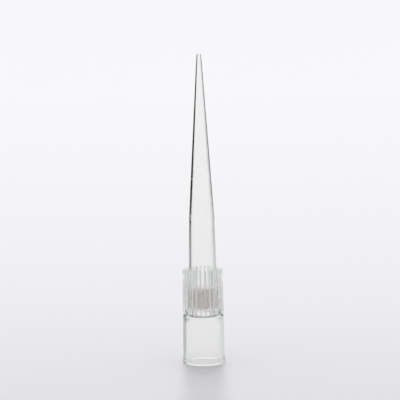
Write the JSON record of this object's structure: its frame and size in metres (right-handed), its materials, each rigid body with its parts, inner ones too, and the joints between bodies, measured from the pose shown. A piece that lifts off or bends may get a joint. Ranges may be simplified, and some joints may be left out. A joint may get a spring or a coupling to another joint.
{
  "type": "filter pipette tip",
  "caption": "Clear tapered pipette tip with a ribbed grip, a smooth collar mouth and a porous filter plug, standing on its mouth with the point up.",
  "frame": {"origin": "centre of the mouth rim, on the surface that the tip stands on", "axes": "+Z along the tip's axis from the mouth to the point"},
  "size_m": [0.0074, 0.0074, 0.0524],
  "materials": {
    "clear_plastic": "clear moulded polypropylene, smooth and glossy",
    "porous_plastic": "white sintered polyethylene, matte and finely porous"
  },
  "bodies": {
    "root": {"tip_body": "clear_plastic", "filter_plug": "porous_plastic"}
  },
  "joints": []
}
